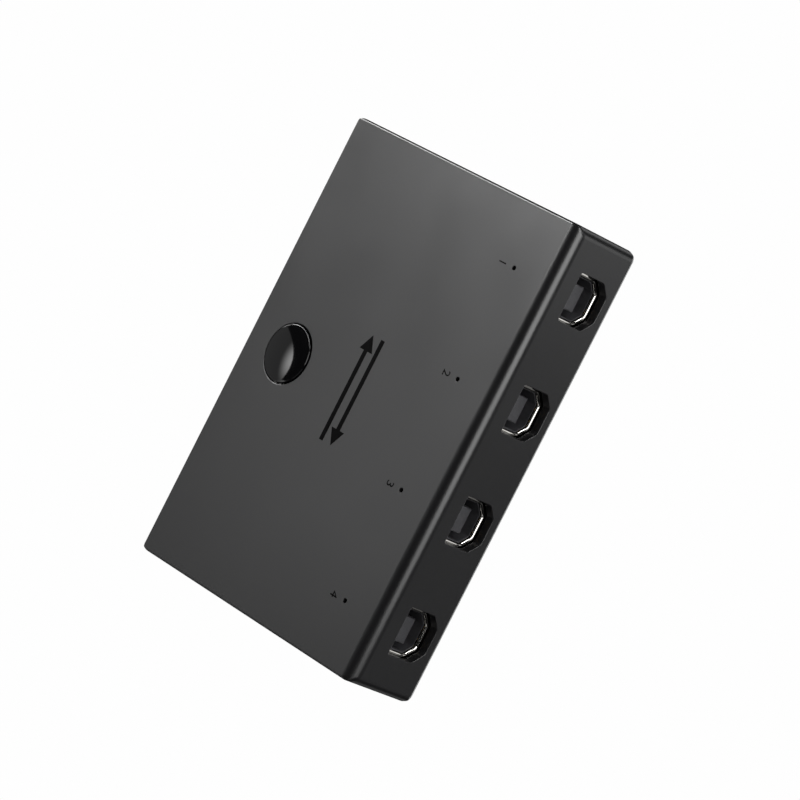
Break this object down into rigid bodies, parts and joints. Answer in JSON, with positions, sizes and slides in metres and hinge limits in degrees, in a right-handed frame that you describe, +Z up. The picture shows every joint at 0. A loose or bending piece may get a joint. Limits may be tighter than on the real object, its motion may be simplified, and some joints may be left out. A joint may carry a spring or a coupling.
{
  "type": "usb sharing switch",
  "caption": "Low black plastic switch box with a round push button and pinhole indicators on top, chamfered type B sockets along the rear and flat type A sockets along the front.",
  "frame": {"origin": "middle of the underside, on the surface that the feet stand on", "axes": "+X along the long side, from socket 1 to socket 4; +Y out of the rear wall with the type B sockets; +Z up through the button"},
  "size_m": [0.1, 0.071, 0.0203],
  "materials": {
    "case_plastic": "matte, fine spark texture",
    "button_plastic": "polished gloss",
    "foot_rubber": "matte",
    "screw_steel": "black zinc plated",
    "board_laminate": "solder mask over glass-filled laminate",
    "socket_steel": "bright nickel plated",
    "socket_plastic": "satin",
    "switch_steel": "satin",
    "led_lens": "clear resin, unlit",
    "chip_plastic": "moulded resin",
    "can_aluminium": "satin",
    "contact_gold": "thin gold plating on bronze",
    "print_ink": "matt black pad-printing ink"
  },
  "bodies": {
    "case": {"top_cover": "case_plastic", "bottom_plate": "case_plastic", "rubber_foot_1": "foot_rubber", "rubber_foot_2": "foot_rubber", "rubber_foot_3": "foot_rubber", "rubber_foot_4": "foot_rubber", "case_screw_1": "screw_steel", "case_screw_2": "screw_steel", "case_screw_3": "screw_steel", "case_screw_4": "screw_steel", "circuit_board": "board_laminate", "usb_b_shell_1": "socket_steel", "usb_b_shell_2": "socket_steel", "usb_b_shell_3": "socket_steel", "usb_b_shell_4": "socket_steel", "usb_a_shell_1": "socket_steel", "usb_a_shell_2": "socket_steel", "usb_a_shell_3": "socket_steel", "usb_a_shell_4": "socket_steel", "power_socket_shell": "socket_steel", "usb_b_insulator_1": "socket_plastic", "usb_b_insulator_2": "socket_plastic", "usb_b_insulator_3": "socket_plastic", "usb_b_insulator_4": "socket_plastic", "usb_a_insulator_1": "socket_plastic", "usb_a_insulator_2": "socket_plastic", "usb_a_insulator_3": "socket_plastic", "usb_a_insulator_4": "socket_plastic", "power_socket_insulator": "socket_plastic", "hub_controller": "chip_plastic", "switch_logic": "chip_plastic", "signal_switch_1": "chip_plastic", "signal_switch_2": "chip_plastic", "voltage_regulator": "chip_plastic", "tact_base": "chip_plastic", "clock_crystal": "switch_steel", "tact_cover": "switch_steel", "tact_dome": "switch_steel", "filter_capacitor_1": "can_aluminium", "filter_capacitor_2": "can_aluminium", "led_1": "led_lens", "led_2": "led_lens", "led_3": "led_lens", "led_4": "led_lens"},
    "button": {"button_cap": "button_plastic"},
    "plunger": {"tact_plunger": "chip_plastic"}
  },
  "joints": [
    {"name": "button_press", "type": "slide", "parent": "case", "child": "button", "axis": [0, 0, -1], "range_m": [0, 0.0003], "stiffness_N_per_m": 5000, "deforming": ["tact_dome"]},
    {"name": "plunger_press", "type": "slide", "parent": "case", "child": "plunger", "axis": [0, 0, -1], "range_m": [0, 0.0003]}
  ],
  "couplings": [
    {"joint": "plunger_press", "follows": "button_press", "ratio": 1}
  ]
}
